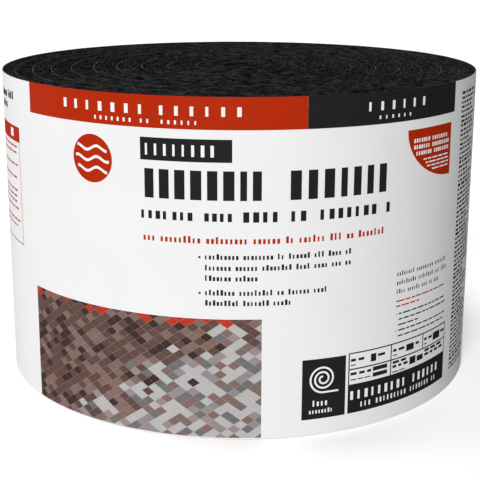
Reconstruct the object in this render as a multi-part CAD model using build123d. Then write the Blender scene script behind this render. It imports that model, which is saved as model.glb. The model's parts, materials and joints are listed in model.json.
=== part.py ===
from build123d import *
from math import degrees, pi, sqrt
import os

# Ridge vent, sold as a roll that stands on one end.
# A strip of black filament mat is wound about an open bore and held by a printed paper wrap.
# Units are millimetres. The roll's axis is Z, its lower end is at Z = 0, and -Y is the printed front.

# The strip of mat, flat
MAT_WIDTH = 228.6
MAT_THICKNESS = 15.875
MAT_LENGTH = 6096.0

# How the strip is wound
BORE_RADIUS = 14.3
TURN_SLACK = 0.65

# The marks that the turns leave on both ends
GROOVE_WIDTH = 1.6
GROOVE_DEPTH = 4.0
TURN_EDGE_RADIUS = 1.5

# The printed paper wrap and its glued lap at the back
WRAP_THICKNESS = 0.3
WRAP_CLEARANCE = 0.05
WRAP_LAP = 25.0
SEAM_ANGLE = 90.0

# The strip's side area, wound tight, fills the ring between the bore and the outside
turn_pitch = MAT_THICKNESS + TURN_SLACK
roll_radius = sqrt(BORE_RADIUS**2 + MAT_LENGTH * turn_pitch / pi)
turn_count = max(1, round((roll_radius - BORE_RADIUS) / turn_pitch))
ring_pitch = (roll_radius - BORE_RADIUS) / turn_count

# A turn's rounded edges take at most this share of its flat, or of the groove's depth
EDGE_SHARE = 0.45
turn_flat = ring_pitch - GROOVE_WIDTH
edge_radius = min(TURN_EDGE_RADIUS, EDGE_SHARE * turn_flat, EDGE_SHARE * GROOVE_DEPTH)

wrap_inner_radius = roll_radius + WRAP_CLEARANCE
wrap_outer_radius = wrap_inner_radius + WRAP_THICKNESS
lap_angle = degrees(WRAP_LAP / wrap_outer_radius)


def make_vent_roll():
    """The wound mat as one turned solid: a ring with a groove between neighbouring turns."""
    wall = Pos(BORE_RADIUS, 0) * Rectangle(
        roll_radius - BORE_RADIUS, MAT_WIDTH, align=(Align.MIN, Align.MIN)
    )
    lower_groove = Rectangle(GROOVE_WIDTH, GROOVE_DEPTH, align=(Align.CENTER, Align.MIN))
    upper_groove = Rectangle(GROOVE_WIDTH, GROOVE_DEPTH, align=(Align.CENTER, Align.MAX))
    for turn in range(1, turn_count):
        groove_radius = BORE_RADIUS + turn * ring_pitch
        wall -= Pos(groove_radius, 0) * lower_groove
        wall -= Pos(groove_radius, MAT_WIDTH) * upper_groove
    corners = wall.vertices().group_by(Axis.Y)
    wall = fillet(corners[0] + corners[-1], edge_radius)
    return revolve(Plane.XZ * wall, Axis.Z)


def make_band(inner_radius, angle):
    """A stretch of the paper's thickness, full height, turned about Z from +X."""
    section = Pos(inner_radius, 0) * Rectangle(
        WRAP_THICKNESS, MAT_WIDTH, align=(Align.MIN, Align.MIN)
    )
    return revolve(Plane.XZ * section, Axis.Z, angle)


def make_label_wrap():
    """The paper ring, with its free end lapped over its start at the back."""
    lap_start = SEAM_ANGLE - lap_angle / 2
    lap = Rot(0, 0, lap_start) * make_band(wrap_outer_radius, lap_angle)
    return make_band(wrap_inner_radius, 360) + lap


vent_roll = make_vent_roll()
label_wrap = make_label_wrap()

os.makedirs("parts", exist_ok=True)
export_step(vent_roll, "parts/vent_roll.step")
export_step(label_wrap, "parts/label_wrap.step")

print(f"roll radius {roll_radius:.2f}, turns {turn_count}, ring pitch {ring_pitch:.2f}")
print(f"edge radius {edge_radius:.2f}, bore wall length {MAT_WIDTH - 2 * edge_radius:.2f}")
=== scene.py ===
import json
import random
from math import pi, radians, tau

import bmesh
import bpy
import numpy as np
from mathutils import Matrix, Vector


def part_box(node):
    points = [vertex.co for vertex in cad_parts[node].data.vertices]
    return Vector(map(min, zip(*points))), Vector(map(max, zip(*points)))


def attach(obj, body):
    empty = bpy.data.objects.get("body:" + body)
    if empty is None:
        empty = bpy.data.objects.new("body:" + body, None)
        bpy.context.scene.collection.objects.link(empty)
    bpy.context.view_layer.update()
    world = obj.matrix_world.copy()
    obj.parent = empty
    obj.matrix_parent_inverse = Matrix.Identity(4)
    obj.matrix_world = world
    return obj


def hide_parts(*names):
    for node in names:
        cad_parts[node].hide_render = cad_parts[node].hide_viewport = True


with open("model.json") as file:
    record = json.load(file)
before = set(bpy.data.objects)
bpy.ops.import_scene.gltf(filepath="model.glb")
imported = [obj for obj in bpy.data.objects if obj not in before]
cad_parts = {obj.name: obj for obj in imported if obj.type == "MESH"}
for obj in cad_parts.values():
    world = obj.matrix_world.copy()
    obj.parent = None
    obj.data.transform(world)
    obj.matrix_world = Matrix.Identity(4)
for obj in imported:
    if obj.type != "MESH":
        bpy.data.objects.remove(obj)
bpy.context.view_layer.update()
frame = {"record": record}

MM = 0.001


# Camera
# A short telephoto lens stands in front of the print, a little above the roll's upper end,
# and looks down on it. The lens is slid down a little, as the photograph's framing needs.
camera_place = (0, -844.3 * MM, 325.4 * MM)
camera_tilt = radians(13.68)
camera_roll = radians(-0.15)
sensor_width = 36
focal_pixels = 1088.5
frame_pixels = 480
axis_pixel = (239.7, 199.9)

bpy.ops.object.camera_add(location=camera_place, rotation=(pi / 2 - camera_tilt, camera_roll, 0))
camera = bpy.context.object
camera.name = "camera"
camera.data.sensor_width = sensor_width
camera.data.lens = sensor_width * focal_pixels / frame_pixels
camera.data.shift_x = (frame_pixels / 2 - axis_pixel[0]) / frame_pixels
camera.data.shift_y = (axis_pixel[1] - frame_pixels / 2) / frame_pixels
bpy.context.scene.camera = camera


# Mat body
# The strip is a springy mat of black polypropylene filament, extruded and laid in loops while hot.
# It is wound about an open bore, and its two long edges are the roll's ends, where the turns show.
# This piece is the shaded inside of the mat, under the loose filaments of its edges.
roll_low, roll_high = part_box("vent_roll")
core_bore = next(mount for mount in frame["record"]["mounts"] if mount["name"] == "core_bore")
bore_radius = core_bore["dims"]["r_mm"] * MM
mat_radius = (roll_high.x - roll_low.x) / 2
mat_width = roll_high.z - roll_low.z

# Places along the strip are counted in turns, and depths through the mat are shares of its turn.
strip_start = radians(-132)
strip_span = (0.05, 10.0)
least_thickness = 0.5 * MM
first_pitch = 23.3 * MM
pitch_loss = 1.31 * MM
tail_bulge = 10 * MM
bulge_rise = 0.18

body_recess = 1.9 * MM
body_shoulder = 2.5 * MM
shoulder_share = 0.2
body_shares = (0.02, 0.93)
body_cuts = (0.1, 0.2, 0.4, 0.6, 0.8, 0.9)
body_steps_per_turn = 120
strip_crease = radians(40)
weld_distance = 0.001 * MM


def smooth_step(share):
    share = np.clip(share, 0, 1)
    return share * share * (3 - 2 * share)


def seam_radius(turn):
    """How far out the seam between turns lies, so many turns after the strip's start.

    The first turn lines the bore. Each later one is pressed a little thinner than the last,
    and the turns bulge where the strip's tail ends, on the left of the print.
    """
    wound = np.maximum(turn - 1, 0)
    radius = bore_radius + first_pitch * wound - pitch_loss * wound**2 / 2
    past_tail = (strip_start / tau + wound + 0.5) % 1
    bulge = smooth_step(past_tail / bulge_rise) * np.minimum(1, (1 - past_tail) / (1 - bulge_rise))
    return np.minimum(radius + tail_bulge * (radius / mat_radius) ** 2 * bulge, mat_radius)


def place_about_axis(turn, radius, height):
    angle = strip_start + tau * turn
    return np.stack([radius * np.cos(angle), radius * np.sin(angle), height], axis=-1)


def wound_place(turn, share, height):
    """Where a point of the strip lies once it is wound, share being its depth in the turn."""
    inner = np.minimum(seam_radius(turn), mat_radius - least_thickness)
    return place_about_axis(turn, inner + share * (seam_radius(turn + 1) - inner), height)


def flat_places(piece):
    """The turns, depths and heights of a flat strip's corners."""
    corners = np.empty(len(piece.data.vertices) * 3, np.float32)
    piece.data.vertices.foreach_get("co", corners)
    return corners.reshape(-1, 3).astype(float).T


def move_corners(piece, places):
    piece.data.vertices.foreach_set("co", places.astype(np.float32).ravel())
    piece.data.update()


def select_only(piece):
    bpy.ops.object.select_all(action="DESELECT")
    piece.select_set(True)
    bpy.context.view_layer.objects.active = piece


def apply_modifiers(piece):
    select_only(piece)
    for modifier in list(piece.modifiers):
        bpy.ops.object.modifier_apply(modifier=modifier.name)


def mend_normals(piece):
    select_only(piece)
    bpy.ops.object.mode_set(mode="EDIT")
    bpy.ops.mesh.select_all(action="SELECT")
    bpy.ops.mesh.remove_doubles(threshold=weld_distance)
    bpy.ops.mesh.normals_make_consistent(inside=False)
    bpy.ops.object.mode_set(mode="OBJECT")


def add_slice(name, steps_per_turn, depths, height):
    """Add the first step of a flat strip, a box between two depths, and edit it."""
    step = 1 / steps_per_turn
    bpy.ops.object.select_all(action="DESELECT")
    bpy.ops.mesh.primitive_cube_add(
        size=1,
        location=(strip_span[0] + step / 2, sum(depths) / 2, mat_width / 2),
        scale=(step, depths[1] - depths[0], height),
    )
    piece = bpy.context.object
    piece.name = name
    bpy.ops.object.transform_apply(location=True, rotation=False, scale=True)
    bpy.ops.object.mode_set(mode="EDIT")
    bpy.ops.mesh.select_all(action="DESELECT")
    return piece


def open_slice(piece):
    """Delete the two faces of a slice that would lie between it and the next ones."""
    bpy.ops.mesh.select_all(action="DESELECT")
    shell = bmesh.from_edit_mesh(piece.data)
    for face in shell.faces:
        face.select = abs(face.normal.x) > 0.5
    bpy.ops.mesh.delete(type="ONLY_FACE")


def repeat_slice(piece, steps_per_turn, merge_distance):
    """Repeat a slice along the whole strip, merge the copies and close the strip's two ends."""
    bpy.ops.object.mode_set(mode="OBJECT")
    repeat = piece.modifiers.new("repeat along the strip", "ARRAY")
    repeat.count = round((strip_span[1] - strip_span[0]) * steps_per_turn)
    repeat.use_relative_offset = False
    repeat.use_constant_offset = True
    repeat.constant_offset_displace = (1 / steps_per_turn, 0, 0)
    repeat.use_merge_vertices = True
    repeat.merge_threshold = merge_distance
    apply_modifiers(piece)
    bpy.ops.object.mode_set(mode="EDIT")
    bpy.ops.mesh.select_all(action="SELECT")
    bpy.ops.mesh.fill_holes(sides=0)
    bpy.ops.object.mode_set(mode="OBJECT")


def srgb(code):
    """The linear colour of an sRGB hex code."""
    parts = [int(code[place : place + 2], 16) / 255 for place in (1, 3, 5)]
    linear = [part / 12.92 if part <= 0.04045 else ((part + 0.055) / 1.055) ** 2.4 for part in parts]
    return (*linear, 1)


def new_material(name):
    material = bpy.data.materials.new(name)
    material.use_nodes = True
    return material, material.node_tree, material.node_tree.nodes["Principled BSDF"]


def add_node(tree, kind, inputs=(), **settings):
    """Add a node. An input that is given a socket is linked, and any other is set."""
    node = tree.nodes.new(kind)
    for name, value in settings.items():
        setattr(node, name, value)
    for name, value in dict(inputs).items():
        if isinstance(value, bpy.types.NodeSocket):
            tree.links.new(value, node.inputs[name])
        else:
            node.inputs[name].default_value = value
    return node


def finish_piece(piece, material):
    """Give a finished piece its material and body."""
    piece.data.materials.clear()
    piece.data.materials.append(material)
    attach(piece, "root")


def polypropylene_filament(name, dark, light, roughness):
    """Extruded black polypropylene: dark and dull, with next to no sheen.

    Clots of 9 mm vary the grey from place to place, and 0.8 mm grain roughens the filaments.
    """
    material, tree, shader = new_material(name)
    places = add_node(tree, "ShaderNodeTexCoord").outputs["Object"]
    clots = add_node(tree, "ShaderNodeTexNoise", {"Vector": places, "Scale": 1 / (9 * MM), "Detail": 3})
    grain = add_node(tree, "ShaderNodeTexNoise", {"Vector": places, "Scale": 1 / (0.8 * MM), "Detail": 2})
    sharper = add_node(
        tree, "ShaderNodeMapRange", {"Value": clots.outputs["Fac"], "From Min": 0.35, "From Max": 0.7}
    )
    tint = add_node(
        tree,
        "ShaderNodeMix",
        {0: sharper.outputs["Result"], 6: srgb(dark), 7: srgb(light)},
        data_type="RGBA",
    )
    bump = add_node(
        tree, "ShaderNodeBump", {"Height": grain.outputs["Fac"], "Strength": 0.5, "Distance": 0.2 * MM}
    )
    tree.links.new(tint.outputs[2], shader.inputs["Base Color"])
    tree.links.new(bump.outputs["Normal"], shader.inputs["Normal"])
    shader.inputs["Roughness"].default_value = roughness
    shader.inputs["IOR"].default_value = 1.49
    shader.inputs["Specular IOR Level"].default_value = 0.005
    return material


mat_body = add_slice("mat_body", body_steps_per_turn, body_shares, mat_width - 2 * body_recess)
open_slice(mat_body)
for share in body_cuts:
    bpy.ops.mesh.select_all(action="SELECT")
    bpy.ops.mesh.bisect(plane_co=(0, share, 0), plane_no=(0, 1, 0))
bpy.ops.mesh.select_all(action="DESELECT")
shell = bmesh.from_edit_mesh(mat_body.data)
for vertex in shell.verts:
    depth = min(vertex.co.y, 1 - vertex.co.y)
    drop = body_shoulder * (1 - smooth_step(depth / shoulder_share))
    vertex.co.z += drop if vertex.co.z < mat_width / 2 else -drop
bmesh.update_edit_mesh(mat_body.data)
repeat_slice(mat_body, body_steps_per_turn, 1 / body_steps_per_turn / 1000)
move_corners(mat_body, wound_place(*flat_places(mat_body)))
mend_normals(mat_body)
bpy.ops.object.shade_smooth_by_angle(angle=strip_crease)
mat_inside = polypropylene_filament("polypropylene_mat_inside", "#121213", "#222223", 0.9)
finish_piece(mat_body, mat_inside)
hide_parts("vent_roll")


# Facing strip
# A sheet of grey-black nonwoven polyester is bonded to the mat's outer face and keeps out rain.
# It is wound with the mat, so its edges draw the thin light lines of the spiral on both ends, helped by a
# painted highlight on the cut.
facing_thickness = 1.1 * MM
facing_edge_dip = (0.3 * MM, 1.3 * MM)
facing_edge_wave = 0.5 * MM
outer_edge_wave = 0.15 * MM
outer_turn_margin = 1.5 * MM
wave_cycles = (7, 17, 31, 53)
facing_rounding = 0.3 * MM
facing_steps_per_turn = 150


def nonwoven_polyester():
    """Spunbonded polyester: matt black fibres with no gloss, painted greyer where the sheet is cut: a
    painted highlight where the light catches the cut edges.

    A 7 mm mottle, the uneven lay of the fibres, breaks up that painted highlight, and 0.3 mm grain is the
    fibres.
    """
    material, tree, shader = new_material("nonwoven_polyester")
    places = add_node(tree, "ShaderNodeTexCoord").outputs["Object"]
    mottle = add_node(tree, "ShaderNodeTexNoise", {"Vector": places, "Scale": 1 / (7 * MM), "Detail": 5})
    sharper = add_node(
        tree, "ShaderNodeMapRange", {"Value": mottle.outputs["Fac"], "From Min": 0.34, "From Max": 0.62}
    )
    fibres = add_node(tree, "ShaderNodeTexNoise", {"Vector": places, "Scale": 1 / (0.3 * MM), "Detail": 2})
    # The cut ends are painted a lighter grey than the faces: a painted highlight where the light catches
    # them.
    cut_highlight_tint = add_node(
        tree,
        "ShaderNodeMix",
        {0: sharper.outputs["Result"], 6: srgb("#161617"), 7: srgb("#404041")},
        data_type="RGBA",
    )
    outward = add_node(
        tree, "ShaderNodeSeparateXYZ", {0: add_node(tree, "ShaderNodeTexCoord").outputs["Normal"]}
    )
    endward = add_node(tree, "ShaderNodeMath", {0: outward.outputs["Z"]}, operation="ABSOLUTE")
    highlit_cut = add_node(
        tree, "ShaderNodeMapRange", {"Value": endward.outputs[0], "From Min": 0.3, "From Max": 0.8}
    )
    # Faces turned to the roll's ends get the painted highlight, and the others the fibres' own black.
    tint = add_node(
        tree,
        "ShaderNodeMix",
        {0: highlit_cut.outputs["Result"], 6: srgb("#0D0D0E"), 7: cut_highlight_tint.outputs[2]},
        data_type="RGBA",
    )
    bump = add_node(
        tree, "ShaderNodeBump", {"Height": fibres.outputs["Fac"], "Strength": 0.6, "Distance": 0.15 * MM}
    )
    tree.links.new(tint.outputs[2], shader.inputs["Base Color"])
    tree.links.new(bump.outputs["Normal"], shader.inputs["Normal"])
    shader.inputs["Roughness"].default_value = 0.95
    shader.inputs["Specular IOR Level"].default_value = 0.05
    return material


def edge_wave(turn, seed):
    """An uneven wave along the strip, from -1 to 1, the mean of four sines of odd lengths."""
    chance = random.Random(seed)
    total = 0
    for cycles in wave_cycles:
        total = total + np.sin(tau * (cycles * chance.uniform(0.8, 1.2) * turn + chance.random()))
    return total / len(wave_cycles)


facing_strip = add_slice("facing_strip", facing_steps_per_turn, (-facing_thickness, 0), mat_width)
shell = bmesh.from_edit_mesh(facing_strip.data)
for edge in shell.edges:
    edge.select = abs(edge.verts[0].co.x - edge.verts[1].co.x) > 0.5 / facing_steps_per_turn
bpy.ops.mesh.bevel(offset=facing_rounding, segments=2, affect="EDGES")
open_slice(facing_strip)
repeat_slice(facing_strip, facing_steps_per_turn, facing_rounding / 20)

# The cut edge dips more on the right of the roll, and least all round the roll's outside.
turn, depth, height = flat_places(facing_strip)
reach = seam_radius(turn + 1)
covered = reach < mat_radius - outer_turn_margin
rightward = (1 + np.cos(strip_start + tau * turn)) / 2
sunk = facing_edge_dip[0] + (facing_edge_dip[1] - facing_edge_dip[0]) * rightward
wavy = np.where(covered, facing_edge_wave, outer_edge_wave)
dip = np.where(covered, sunk, 0) + (1 + edge_wave(turn, seed=3)) * wavy / 2
height += np.where(height > mat_width / 2, -dip, dip)
move_corners(facing_strip, place_about_axis(turn, reach + depth, height))
mend_normals(facing_strip)
bpy.ops.object.shade_smooth_by_angle(angle=strip_crease)
finish_piece(facing_strip, nonwoven_polyester())


# Filaments of the mat's edges
# The mat is one tangle of filaments about 1 mm thick. Along the strip's edges they rise and dive
# in long low loops, so the roll's ends show as rows of short dashes between the facing's lines.
filament_radius = 0.5 * MM
filament_lanes = 9
first_lane = 0.6
lane_room = 0.9
lane_wander = 0.13
lane_stagger = 0.05
strip_end_gap = 0.02
loop_length = (7 * MM, 16 * MM)
loop_depth = (1.2 * MM, 2.6 * MM)
crest_drop = (0.1 * MM, 0.9 * MM)

# A loop's points: how far along it each one is, and what share of the loop's depth it has risen.
loop_points = ((0, 0), (0.25, 0.72), (0.5, 1), (0.75, 0.72))

# A filament keeps this far from the seam under it and from the facing over it.
inner_room = 1.2 * filament_radius
outer_room = facing_thickness + 0.8 * filament_radius
least_turn_width = facing_thickness + 4 * filament_radius


def lay_filament(curve, places, upward):
    """Add a filament to the curve. Each place is its turn, its share of the depth and its height."""
    width = seam_radius(places[:, 0] + 1) - seam_radius(places[:, 0])
    roomy = width > least_turn_width
    places, width = places[roomy], width[roomy]
    places[:, 1] = np.clip(places[:, 1], inner_room / width, 1 - outer_room / width)
    heights = places[:, 2] if upward else mat_width - places[:, 2]
    wound = wound_place(places[:, 0], places[:, 1], heights)
    if len(wound) > 2:
        line = curve.splines.new("POLY")
        line.points.add(len(wound) - 1)
        line.points.foreach_set("co", np.c_[wound, np.ones(len(wound))].ravel())


def new_filament_curve(name):
    curve = bpy.data.curves.new(name, "CURVE")
    curve.dimensions = "3D"
    curve.twist_mode = "Z_UP"
    curve.bevel_depth = filament_radius
    curve.bevel_resolution = 0
    curve.use_fill_caps = True
    return curve


def finish_filaments(name, curve, material):
    """Turn the curve into one mesh of four-sided filaments, and finish it."""
    piece = bpy.data.objects.new(name, curve)
    bpy.context.collection.objects.link(piece)
    select_only(piece)
    bpy.ops.object.convert(target="MESH")
    piece = bpy.context.object
    mend_normals(piece)
    bpy.ops.object.shade_smooth()
    finish_piece(piece, material)


def edge_filaments(name, upward, seed, material):
    """All the long filaments of one edge of the strip, from its start in the bore to its tail."""
    chance = random.Random(seed)
    curve = new_filament_curve(name)
    for lane in range(filament_lanes):
        middle = (lane + first_lane) / (filament_lanes + lane_room)
        turn = strip_span[0] + chance.random() * lane_stagger
        share = middle
        points = []
        while turn < strip_span[1] - strip_end_gap:
            radius = float(seam_radius(turn + 0.5))
            length = chance.uniform(*loop_length) / (tau * radius)
            crest = chance.uniform(*crest_drop)
            depth = chance.uniform(*loop_depth)
            target = middle + chance.uniform(-lane_wander, lane_wander)
            for part, lift in loop_points:
                height = mat_width - filament_radius - crest - (1 - lift) * depth
                points.append((turn + part * length, share + part * (target - share), height))
            turn += length
            share = target
        lay_filament(curve, np.array(points), upward)
    finish_filaments(name, curve, material)


filament_black = polypropylene_filament("polypropylene_filament", "#0D0D0E", "#242424", 0.6)
edge_filaments("filaments_upper_end", True, 11, filament_black)
edge_filaments("filaments_lower_end", False, 23, filament_black)


# Cross loops of the mat's edges
# Short loops of the same filament lie across the long ones at odd angles and tie the tangle. Most
# are near the facing or in the middle of a turn. They are painted a little greyer than the long ones,
# a painted sheen where the light catches their crests.
cross_homes = (0.12, 0.5, 0.82)
cross_scatter = 0.1
cross_stagger = 4.6 * MM
cross_spacing = 1.5 * cross_stagger
cross_length = (4 * MM, 9 * MM)
cross_lean = 0.22
cross_drop = (0.1 * MM, 0.7 * MM)
cross_depth = (0.5 * MM, 1.6 * MM)
cross_points = ((0, 0), (0.22, 0.7), (0.5, 1), (0.78, 0.7), (1, 0))


def cross_loops(name, upward, seed, material):
    """All the short loops of one edge of the strip, scattered from the bore to the tail."""
    chance = random.Random(seed)
    curve = new_filament_curve(name)
    turn = strip_span[0] + strip_end_gap
    while turn < strip_span[1] - strip_end_gap:
        radius = float(seam_radius(turn + 0.5))
        for home in cross_homes:
            share = home + chance.gauss(0, cross_scatter)
            start = turn + chance.random() * cross_stagger / (tau * radius)
            length = chance.uniform(*cross_length) / (tau * radius)
            lean = chance.uniform(-cross_lean, cross_lean)
            crest = chance.uniform(*cross_drop)
            depth = chance.uniform(*cross_depth)
            points = []
            for part, lift in cross_points:
                height = mat_width - filament_radius - crest - (1 - lift) * depth
                points.append((start + part * length, share + (part - 0.5) * lean, height))
            lay_filament(curve, np.array(points), upward)
        turn += cross_spacing / (tau * radius)
    finish_filaments(name, curve, material)


# A lighter copy of the filament's material: painted sheen on the cross loops.
sheen_painted_black = polypropylene_filament("sheen_painted_polypropylene_filament", "#131313", "#303030", 0.6)
cross_loops("cross_loops_upper_end", True, 31, sheen_painted_black)
cross_loops("cross_loops_lower_end", False, 47, sheen_painted_black)


# Paper wrap
# One sheet of clay-coated paper is pulled tight round the roll and glued to itself at the back.
# It is modelled flat, as it came off the press, with edges cut on a slope, and then bent.
wrap_low, wrap_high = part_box("label_wrap")
wrap_radius = (wrap_high.x - wrap_low.x) / 2
wrap_clearance = 0.05 * MM
ink_room = 0.06 * MM
paper_radius = wrap_radius - ink_room
paper_thickness = wrap_radius - mat_radius - ink_room - wrap_clearance
paper_lap = 25 * MM
lap_climb = 0.2 * paper_lap
lap_gap = 0.02 * MM
paper_width = tau * paper_radius + paper_lap
paper_wave = 0.25 * MM
paper_wave_spacing = 85 * MM
paper_crease = radians(30)
cut_slope = 0.1 * MM
paper_columns = 288
paper_rows = 36
column_pitch = paper_width / paper_columns
row_pitch = mat_width / paper_rows


def coated_paper():
    """Clay-coated paper: bright white with a soft sheen and no visible grain.

    A 35 mm mottle shows that it isn't quite flat white, and 0.4 mm tooth breaks up the sheen.
    """
    material, tree, shader = new_material("coated_paper")
    places = add_node(tree, "ShaderNodeTexCoord").outputs["Object"]
    mottle = add_node(tree, "ShaderNodeTexNoise", {"Vector": places, "Scale": 1 / (35 * MM), "Detail": 3})
    tooth = add_node(tree, "ShaderNodeTexNoise", {"Vector": places, "Scale": 1 / (0.4 * MM), "Detail": 3})
    tint = add_node(
        tree,
        "ShaderNodeMix",
        {0: mottle.outputs["Fac"], 6: srgb("#DEDEDE"), 7: srgb("#E4E4E4")},
        data_type="RGBA",
    )
    bump = add_node(
        tree, "ShaderNodeBump", {"Height": tooth.outputs["Fac"], "Strength": 0.15, "Distance": 0.05 * MM}
    )
    tree.links.new(tint.outputs[2], shader.inputs["Base Color"])
    tree.links.new(bump.outputs["Normal"], shader.inputs["Normal"])
    shader.inputs["Roughness"].default_value = 0.6
    shader.inputs["Specular IOR Level"].default_value = 0.1
    return material


def let_paper_wave(piece):
    """Let a flat sheet, or the ink on it, sink here and there by up to the paper's wave."""
    cloud = bpy.data.textures.get("paper_wave") or bpy.data.textures.new("paper_wave", "CLOUDS")
    cloud.noise_scale = paper_wave_spacing
    cloud.noise_depth = 0
    sink = piece.modifiers.new("wave of the paper", "DISPLACE")
    sink.texture = cloud
    sink.texture_coords = "LOCAL"
    sink.direction = "Z"
    sink.mid_level = 0
    sink.strength = -paper_wave
    apply_modifiers(piece)


def thicken(piece, thickness):
    """Give a flat sheet, or the ink on it, its thickness below the face that is there."""
    layer = piece.modifiers.new("thickness", "SOLIDIFY")
    layer.thickness = thickness
    layer.offset = -1
    apply_modifiers(piece)


def bend_about_roll(piece):
    """Stand up a flat sheet, or the ink on it, and bend it about the roll, face outward."""
    select_only(piece)
    piece.rotation_euler = (pi / 2, 0, 0)
    bpy.ops.object.transform_apply(location=False, rotation=True, scale=False)
    across = [vertex.co.x for vertex in piece.data.vertices]
    bend = piece.modifiers.new("bend about the roll", "SIMPLE_DEFORM")
    bend.deform_method = "BEND"
    bend.deform_axis = "Z"
    bend.angle = (max(across) - min(across)) / paper_radius
    apply_modifiers(piece)
    piece.location = (0, -paper_radius, 0)
    bpy.ops.object.transform_apply(location=True, rotation=False, scale=False)


bpy.ops.object.select_all(action="DESELECT")
bpy.ops.mesh.primitive_grid_add(x_subdivisions=paper_columns, y_subdivisions=paper_rows, size=1)
paper_wrap = bpy.context.object
paper_wrap.name = "paper_wrap"
paper_wrap.scale = (paper_width, mat_width, 1)
paper_wrap.location = (0, mat_width / 2, 0)
bpy.ops.object.transform_apply(location=True, rotation=False, scale=True)
lap_start = paper_width / 2 - paper_lap - lap_climb
for vertex in paper_wrap.data.vertices:
    climb = smooth_step((vertex.co.x - lap_start) / lap_climb)
    vertex.co.z += climb * (paper_thickness + lap_gap)
let_paper_wave(paper_wrap)
thicken(paper_wrap, paper_thickness)

# The slope takes the cut's white edge out of sight from outside the roll.
bpy.ops.object.mode_set(mode="EDIT")
shell = bmesh.from_edit_mesh(paper_wrap.data)
inner_points = {vertex for face in shell.faces if face.normal.z < -0.9 for vertex in face.verts}
for vertex in inner_points:
    if vertex.co.y < row_pitch / 2:
        vertex.co.y += cut_slope
    elif vertex.co.y > mat_width - row_pitch / 2:
        vertex.co.y -= cut_slope
bmesh.update_edit_mesh(paper_wrap.data)
bpy.ops.object.mode_set(mode="OBJECT")
bend_about_roll(paper_wrap)
bpy.ops.object.shade_smooth_by_angle(angle=paper_crease)
finish_piece(paper_wrap, coated_paper())
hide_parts("label_wrap")


# Black print
# Offset inks are printed on the sheet before it is bent, in layers far thinner than the paper.
# Black gives the head band's right part, the headings, the size table and the rows of small bars.
ink_above_paper = 0.03 * MM
ink_thickness = 0.04 * MM
layer_rise = 0.6

# Places and sizes of the print are in millimetres, from the front's middle and the sheet's foot.
ink_gap = 0.05
band_left, band_split, band_right = -164.3, 43.3, 174.3
band_foot, band_head = 207.9, 228.6
title_plate = (-64, -4.3, 187.3, 201.9)
title_foot, title_head = 162.9, 181.9
title_words = ((-61.3, 16.7, 3.6), (32.7, 104.3, 4.5))
title_block = (4.2, 7.4)
title_rest = 3
small_title_words = ((-64, -42.7), (-42.7, -23), (-22, 2))
small_title_foot = 149.2
large_title_words = ((2.7, 51.3), (52.7, 113))
large_title_foot = 148.8
point_left = -21.7
point_lines = ((124.2, 76.7), (116.9, 76.7), (109.9, 14), (100.2, 62.7), (93.2, 35))
point_dots = (124.9, 100.9)
point_dot_reach = (4.3, 2.9)
point_dot_height = 1.4
note_left = 114.3
note_lines = ((102.4, 173), (96.1, 174), (89.8, 162))
fine_note_lines = ((74.8, 171), (70.8, 173), (66.8, 141), (62.8, 173), (58.8, 174))
fine_note_indent = 2.7
fine_note_dots = (74.9, 62.9)
fine_note_dot_reach = (0.1, 0.9)
fine_note_dot_height = 0.8
sign_plate = (42.3, 73.7, 11.3, 53.9)
table_left, table_right = 75.7, 175.7
table_foot, table_base = 11.3, 32.1
table_rules = (42.45, 53.85)
lower_uprights = (75.7, 110.85, 174.8)
upper_uprights = (75.7, 110.85, 143.85, 174.8)
rule_weight = 0.9
figure_blocks = (
    (93.5, 98, 45.6, 51.2),
    (126, 134, 46, 50.8),
    (157.5, 167, 45.6, 51.2),
    (95.5, 108, 38.6, 41.5),
    (95.5, 108, 34.3, 37.2),
    (130, 136.5, 35, 40.4),
    (138, 145, 35.4, 39.4),
)
table_bars = (
    (77.5, 88, 48.4),
    (99.5, 109.5, 48.4),
    (113, 124, 48.4),
    (136, 142.5, 48.4),
    (146, 156, 48.4),
    (168.5, 174, 48.4),
    (77.5, 94, 38.6),
    (113, 128, 39.6),
    (113, 128, 36.6),
    (147, 170, 39.8),
    (147, 172, 36.8),
)
fine_table_bars = (
    (77.5, 84, 45.4),
    (113, 119, 45.4),
    (146, 153, 45.4),
    (77.5, 94, 34.9),
    (113, 128, 33.2),
)
side_left, side_right = 188, 227
side_foot, side_step = 13.2, 3.3
side_lines = 63
bold_side_lines = (2, 12, 21, 31, 42, 47, 55, 62)
side_shortfalls = (0, 0, 2, 6, 14)
side_stray = 0.15
left_words = ((-232, -193, 212.4), (-232, -206, 204.6))

# A type is its height, the share of its pitch that is inked, and how much taller some blocks are.
small_title_type = (5.4, 0.52, 1)
large_title_type = (6.8, 0.5, 1)
point_type = (2.7, 0.55)
note_type = (2.4, 0.42)
left_type = (4.2, 0.8)

# A bar's size is its height, in the tables with the shortest and longest length of a word.
fine_bar = 1.0
table_bar = (1.9, (3, 7))
fine_table_bar = (0.8, (3, 6))
side_bar = 1.6
bold_side_bar = 2.1


def start_print(name):
    """Start an empty flat print, with X along the sheet and Y up it, and edit it."""
    bpy.ops.object.select_all(action="DESELECT")
    bpy.ops.mesh.primitive_plane_add(size=MM)
    piece = bpy.context.object
    piece.name = name
    bpy.ops.object.mode_set(mode="EDIT")
    bpy.ops.mesh.select_all(action="SELECT")
    bpy.ops.mesh.delete(type="VERT")
    return piece


def sheet_place(across, upward):
    return (across * MM, upward * MM, 0)


def mark(left, right, foot, head):
    """Print an oblong."""
    centre = sheet_place((left + right) / 2, (foot + head) / 2)
    bpy.ops.mesh.select_all(action="DESELECT")
    bpy.ops.mesh.primitive_plane_add(size=MM, location=centre)
    bpy.ops.transform.resize(value=(right - left, head - foot, 1), center_override=centre)


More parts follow.
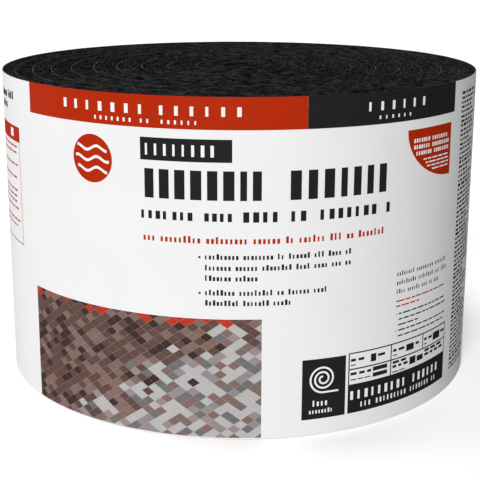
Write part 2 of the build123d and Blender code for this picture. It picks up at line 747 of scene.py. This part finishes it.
def type_line(chance, left, right, foot, height, weight=0.52, tall=1.4):
    """Print a line of words made of small upright blocks, one in four of them taller."""
    pitch = 0.92 * height
    place = left
    while place < right - pitch:
        for _ in range(chance.randint(2, 9)):
            if place > right - pitch:
                break
            wide = pitch * weight * chance.uniform(0.75, 1.25)
            mark(place, place + wide, foot, foot + height * chance.choice((1, 1, 1, tall)))
            place += pitch
        place += 0.9 * pitch


def bar_line(chance, left, right, foot, height, lengths=(2.5, 8)):
    """Print a line of words too small to tell their parts, as one thin bar each."""
    place = left
    while place < right - lengths[0]:
        end = min(place + chance.uniform(*lengths), right)
        mark(place, end, foot, foot + height)
        place = end + 0.9 * height + 0.3


def finish_print(piece, material, layer=0):
    """Cut a print along the paper's own facets, thicken it and lay it on the paper."""
    across = [vertex.co.x for vertex in bmesh.from_edit_mesh(piece.data).verts]
    upward = [vertex.co.y for vertex in bmesh.from_edit_mesh(piece.data).verts]
    for column in range(1, paper_columns):
        place = column * column_pitch - paper_width / 2
        if min(across) < place < max(across):
            bpy.ops.mesh.select_all(action="SELECT")
            bpy.ops.mesh.bisect(plane_co=(place, 0, 0), plane_no=(1, 0, 0))
    for row in range(1, paper_rows):
        place = row * row_pitch
        if min(upward) < place < max(upward):
            bpy.ops.mesh.select_all(action="SELECT")
            bpy.ops.mesh.bisect(plane_co=(0, place, 0), plane_no=(0, 1, 0))
    bpy.ops.object.mode_set(mode="OBJECT")
    piece.location = (0, 0, ink_above_paper * (1 + layer_rise * layer))
    bpy.ops.object.transform_apply(location=True, rotation=False, scale=False)
    let_paper_wave(piece)
    thicken(piece, ink_thickness)
    bend_about_roll(piece)
    mend_normals(piece)
    bpy.ops.object.shade_smooth_by_angle(angle=paper_crease)
    finish_piece(piece, material)


def offset_ink(name, dark, light):
    """Offset ink on coated paper: a flat colour with a soft gloss.

    A 14 mm mottle is the ink's uneven take, and 0.5 mm grain is the paper's tooth under it.
    """
    material, tree, shader = new_material(name)
    places = add_node(tree, "ShaderNodeTexCoord").outputs["Object"]
    mottle = add_node(tree, "ShaderNodeTexNoise", {"Vector": places, "Scale": 1 / (14 * MM), "Detail": 4})
    tooth = add_node(tree, "ShaderNodeTexNoise", {"Vector": places, "Scale": 1 / (0.5 * MM), "Detail": 2})
    tint = add_node(
        tree,
        "ShaderNodeMix",
        {0: mottle.outputs["Fac"], 6: srgb(dark), 7: srgb(light)},
        data_type="RGBA",
    )
    bump = add_node(
        tree, "ShaderNodeBump", {"Height": tooth.outputs["Fac"], "Strength": 0.15, "Distance": 0.05 * MM}
    )
    tree.links.new(tint.outputs[2], shader.inputs["Base Color"])
    tree.links.new(bump.outputs["Normal"], shader.inputs["Normal"])
    shader.inputs["Roughness"].default_value = 0.6
    shader.inputs["Specular IOR Level"].default_value = 0.05
    return material


chance = random.Random(5)
black_print = start_print("black_print")
mark(band_split, band_right, band_foot, band_head)
mark(*title_plate)
for left, right, gap in title_words:
    place = left
    while place < right - title_rest:
        wide = min(chance.uniform(*title_block), right - place)
        mark(place, place + wide, title_foot, title_head)
        place += wide + gap
for left, right in small_title_words:
    type_line(chance, left, right, small_title_foot, *small_title_type)
for left, right in large_title_words:
    type_line(chance, left, right, large_title_foot, *large_title_type)
for foot, right in point_lines:
    type_line(chance, point_left, right, foot, *point_type)
for foot in point_dots:
    dot_left, dot_right = (point_left - reach for reach in point_dot_reach)
    mark(dot_left, dot_right, foot, foot + point_dot_height)
for foot, right in note_lines:
    type_line(chance, note_left, right, foot, *note_type)
for foot, right in fine_note_lines:
    bar_line(chance, note_left + fine_note_indent, right, foot, fine_bar)
for foot in fine_note_dots:
    dot_left, dot_right = (note_left + reach for reach in fine_note_dot_reach)
    mark(dot_left, dot_right, foot, foot + fine_note_dot_height)
mark(*sign_plate)
mark(table_left, table_right, table_foot, table_base)
for rule in table_rules:
    mark(table_left, table_right, rule, rule + rule_weight)
for left in lower_uprights:
    mark(left, left + rule_weight, table_base + ink_gap, table_rules[0] - ink_gap)
for left in upper_uprights:
    mark(left, left + rule_weight, table_rules[0] + rule_weight + ink_gap, table_rules[1] - ink_gap)
for block in figure_blocks:
    mark(*block)
for left, right, foot in table_bars:
    bar_line(chance, left, right, foot, *table_bar)
for left, right, foot in fine_table_bars:
    bar_line(chance, left, right, foot, *fine_table_bar)
for number in range(side_lines):
    foot = side_foot + side_step * number + chance.uniform(-side_stray, side_stray)
    height = bold_side_bar if number in bold_side_lines else side_bar
    bar_line(chance, side_left, side_right - chance.choice(side_shortfalls), foot, height)
for left, right, foot in left_words:
    type_line(chance, left, right, foot, *left_type)
finish_print(black_print, offset_ink("black_printing_ink", "#1E1C1D", "#242223"))


# Red print
# Red ink gives the head band's left part, the round emblem, the quarter-round flash, one line of
# small type, and a ruled table on the left. Like the black it is a film on the paper's face.
flash_corner = (170, 201.3)
flash_reach = (50.7, 36)
emblem_centre = (-100.7, 184.6)
emblem_radius = 16
red_line = (-62.7, 107, 134.6, 3.3)
red_note_lines = ((84, 172), (80.4, 139))
red_table_left, red_table_right = -285, -186
red_table_marks = (
    (red_table_left, red_table_right + 1, 183, 194),
    (red_table_right - 0.6, red_table_right, 108.6, 183),
    (red_table_left, red_table_right, 108.3, 109),
)
red_table_bars = (178.6, 174.2, 165.2, 155.8, 146.2, 141.8, 137.6, 132.8, 124, 119.6)
red_table_margin = 5
red_table_shortfall = 8
red_table_bar = (1.3, (3, 9))

red_print = start_print("red_print")
mark(band_left, band_split - ink_gap, band_foot, band_head)

# The flash is an oval that two cuts bring down to its lower left quarter. The head band, which is
# the only other mark by then, lies further left and isn't cut.
bpy.ops.mesh.select_all(action="DESELECT")
corner = sheet_place(*flash_corner)
bpy.ops.mesh.primitive_circle_add(vertices=96, radius=MM, fill_type="NGON", location=corner)
bpy.ops.transform.resize(value=(*flash_reach, 1), center_override=corner)
bpy.ops.mesh.bisect(plane_co=corner, plane_no=(1, 0, 0), clear_outer=True)
shell = bmesh.from_edit_mesh(red_print.data)
for face in shell.faces:
    face.select = face.calc_center_median().x > corner[0] - flash_reach[0] * MM
bpy.ops.mesh.bisect(plane_co=corner, plane_no=(0, 1, 0), clear_outer=True)

bpy.ops.mesh.select_all(action="DESELECT")
bpy.ops.mesh.primitive_circle_add(
    vertices=72,
    radius=emblem_radius * MM,
    fill_type="NGON",
    location=sheet_place(*emblem_centre),
)
type_line(chance, *red_line)
for foot, right in red_note_lines:
    bar_line(chance, note_left, right, foot, fine_bar)
for block in red_table_marks:
    mark(*block)
for foot in red_table_bars:
    right = red_table_right - red_table_margin - chance.uniform(0, red_table_shortfall)
    bar_line(chance, red_table_left, right, foot, *red_table_bar)
finish_print(red_print, offset_ink("red_printing_ink", "#A62506", "#AC2909"))


# White print
# Opaque white ink is printed last, over the red and the black. It gives the small blocks in the
# bands and bars, the waves on the emblem, and a spiral for the sign of a roll.
sign_centre = (57, 39.5)
sign_reach = (1.6, 9.6)
sign_turns = 2.5
sign_line = 1.3
sign_tail = 11.4
sign_steps = 120
emblem_waves = (-7, 0, 7)
emblem_margin = 2.4
wave_weight = 1.9
wave_length = 16
wave_height = 1.5
wave_steps = 40

# Each row of blocks: where it starts and ends, their spacing, foot, head and width.
block_rows = (
    (-124.3, -60, 9.9, 216.3, 222.3, 2.6),
    (-50.7, 2, 9.9, 216.3, 222.3, 2.6),
    (-97.7, -70, 4.35, 210.8, 213.3, 1.3),
    (-63.7, -58, 4.35, 210.8, 213.3, 1.3),
    (-49.7, -26, 4.35, 210.8, 213.3, 1.3),
    (85.7, 133, 9.4, 216.8, 222.6, 2.1),
    (94, 124, 5.2, 211.2, 213.4, 1.5),
    (-60.6, -12, 6.1, 190.6, 198, 2.0),
)
flash_words = ((192.2, 125.5), (187.8, 125.5), (183.4, 128))
flash_words_right = 168.5
flash_type = (2.7, 0.62, 1)
flash_bars = ((179.6, 136), (177, 138.4), (174.4, 140), (171.8, 146))
flash_bars_right = 167.5
red_table_block = (-205, -198, 185.8, 191.8)

# Each line on the black bars at the foot: its left, right and foot, and then its type.
foot_lines = (
    (77.7, 173.5, 20.9, 6.2, 0.36, 1),
    (86, 166, 14.6, 3.6, 0.36, 1),
    (50, 66.5, 20.4, 3.2, 0.42, 1.3),
    (47.6, 69, 15.2, 2.4, 0.45, 1.3),
)

white_print = start_print("white_print")
for start, end, spacing, foot, head, wide in block_rows:
    place = start
    while place < end:
        mark(place, place + wide * chance.uniform(0.7, 1.15), foot, head)
        place += spacing
for foot, left in flash_words:
    type_line(chance, left, flash_words_right, foot, *flash_type)
for foot, left in flash_bars:
    bar_line(chance, left, flash_bars_right, foot, fine_bar)
for line in foot_lines:
    type_line(chance, *line)
mark(*red_table_block)
for rise in emblem_waves:
    reach = (emblem_radius**2 - rise**2) ** 0.5 - emblem_margin
    middle = sheet_place(emblem_centre[0], emblem_centre[1] + rise)
    bpy.ops.mesh.select_all(action="DESELECT")
    bpy.ops.mesh.primitive_grid_add(
        x_subdivisions=wave_steps, y_subdivisions=1, size=2 * MM, location=middle
    )
    bpy.ops.transform.resize(value=(reach, wave_weight / 2, 1), center_override=middle)
    for vertex in bmesh.from_edit_mesh(white_print.data).verts:
        if vertex.select:
            phase = tau * (vertex.co.x - middle[0]) / (wave_length * MM)
            vertex.co.y += wave_height * MM * np.sin(phase)
middle = sheet_place(*sign_centre)
bpy.ops.mesh.select_all(action="DESELECT")
bpy.ops.mesh.primitive_grid_add(x_subdivisions=sign_steps, y_subdivisions=1, size=2 * MM, location=middle)
for vertex in bmesh.from_edit_mesh(white_print.data).verts:
    if vertex.select:
        along = (vertex.co.x - middle[0]) / (2 * MM) + 0.5
        beside = (vertex.co.y - middle[1]) / (2 * MM) * sign_line
        angle = tau * (sign_turns * along + 0.25)
        reach = sign_reach[0] + (sign_reach[1] - sign_reach[0]) * along - beside
        vertex.co.x = middle[0] + reach * MM * np.cos(angle)
        vertex.co.y = middle[1] + reach * MM * np.sin(angle)
tail_foot = sign_centre[1] - sign_reach[1] - sign_line / 2
mark(sign_centre[0] + ink_gap, sign_centre[0] + sign_tail, tail_foot, tail_foot + sign_line)
finish_print(white_print, offset_ink("white_printing_ink", "#E2E2E0", "#E9E9E8"), layer=1)


# Pattern panel
# The foot of the sheet bears a field of small lozenges in three browns, three greys and some red.
# Each tint is an ink of its own, printed side by side with the others.
panel_left, panel_right = -165, 15
panel_foot, panel_head = 1, 84
lozenge_width, lozenge_height = 9, 6.4
lozenge_share = 0.99
grey_slope = (2.4, -1.8)
grey_middle = (0.6, 0.45)
mixed_edge = 0.45
red_above = 0.93
red_chance = 0.45
brown_tints = ("dark_brown", "brown", "brown", "light_brown")
grey_tints = ("grey", "stone", "light_grey", "light_grey", "light_brown")
panel_tints = {
    "dark_brown": ("#382A28", "#43332F"),
    "brown": ("#553F3A", "#634C46"),
    "light_brown": ("#735C56", "#806963"),
    "grey": ("#626162", "#707070"),
    "stone": ("#857A7B", "#948989"),
    "light_grey": ("#A7A3A4", "#B4B1B1"),
    "light_red": ("#A8301B", "#B43B26"),
}


def lozenge_tint(chance, across, upward):
    """Browns lie to the left and above, stone and greys to the right and below, with a mixed edge."""
    lean = (across - grey_middle[0]) * grey_slope[0] + (upward - grey_middle[1]) * grey_slope[1]
    lean += chance.uniform(-mixed_edge, mixed_edge)
    if upward > red_above and chance.random() < red_chance:
        return "light_red"
    return chance.choice(brown_tints if lean < 0 else grey_tints)


lozenges = {tint: [] for tint in panel_tints}
for row in range(round(2 * (panel_head - panel_foot) / lozenge_height) + 1):
    upward = panel_foot + row * lozenge_height / 2
    across = panel_left + (row % 2) * lozenge_width / 2
    while across < panel_right + lozenge_width / 2:
        side_share = (across - panel_left) / (panel_right - panel_left)
        tint = lozenge_tint(chance, side_share, (upward - panel_foot) / (panel_head - panel_foot))
        lozenges[tint].append((across, upward))
        across += lozenge_width

for tint, (dark, light) in panel_tints.items():
    panel_print = start_print(f"{tint}_print")
    for centre in (sheet_place(*lozenge) for lozenge in lozenges[tint]):
        bpy.ops.mesh.select_all(action="DESELECT")
        bpy.ops.mesh.primitive_circle_add(vertices=4, radius=MM, fill_type="NGON", location=centre)
        size = (lozenge_share * lozenge_width / 2, lozenge_share * lozenge_height / 2, 1)
        bpy.ops.transform.resize(value=size, center_override=centre)
    for corner, outward in (
        ((panel_left, panel_foot), (-1, 0, 0)),
        ((panel_left, panel_foot), (0, -1, 0)),
        ((panel_right, panel_head), (1, 0, 0)),
        ((panel_right, panel_head), (0, 1, 0)),
    ):
        bpy.ops.mesh.select_all(action="SELECT")
        bpy.ops.mesh.bisect(plane_co=sheet_place(*corner), plane_no=outward, clear_outer=True)
    finish_print(panel_print, offset_ink(f"{tint}_printing_ink", dark, light))


# Floor
# A pale painted studio floor runs out of view on all sides, a hair under the roll. It takes the
# roll's shadow, but it throws no light back on the roll, as none shows in the photograph.
floor_size = 12
floor_drop = 0.2 * MM

bpy.ops.object.select_all(action="DESELECT")
bpy.ops.mesh.primitive_plane_add(size=floor_size, location=(0, 0, -floor_drop))
floor = bpy.context.object
floor.name = "floor"
floor_paint, _, floor_shader = new_material("pale_floor_paint")
floor_shader.inputs["Base Color"].default_value = srgb("#FDFDFC")
floor_shader.inputs["Roughness"].default_value = 0.9
floor.data.materials.append(floor_paint)
floor.visible_diffuse = False
floor.visible_glossy = False


# Light
# Softboxes far off light the whole floor alike. The key stands in front, a little to the left,
# one at the left fills that edge, and weak ones at the back and overhead lift the upper end.
world_strength = 0.1

world = bpy.data.worlds.new("studio")
bpy.context.scene.world = world
world.use_nodes = True
world.node_tree.nodes["Background"].inputs["Color"].default_value = (1, 1, 1, 1)
world.node_tree.nodes["Background"].inputs["Strength"].default_value = world_strength
bpy.context.scene.view_settings.view_transform = "Standard"


def add_far_light(name, azimuth, elevation, spread, strength):
    """A far softbox. Azimuth 0 is in front of the print, and the spread is how wide it looks."""
    bpy.ops.object.light_add(type="SUN", rotation=(pi / 2 - elevation, 0, azimuth))
    lamp = bpy.context.object
    lamp.name = name
    lamp.data.angle = spread
    lamp.data.energy = strength


add_far_light("key_light", radians(-10), radians(26), radians(30), 3.73)
add_far_light("side_light", radians(-115), radians(26), radians(50), 2.3)
add_far_light("back_light", radians(150), radians(14), radians(30), 1.0)
add_far_light("top_light", radians(60), radians(75), radians(60), 0.5)
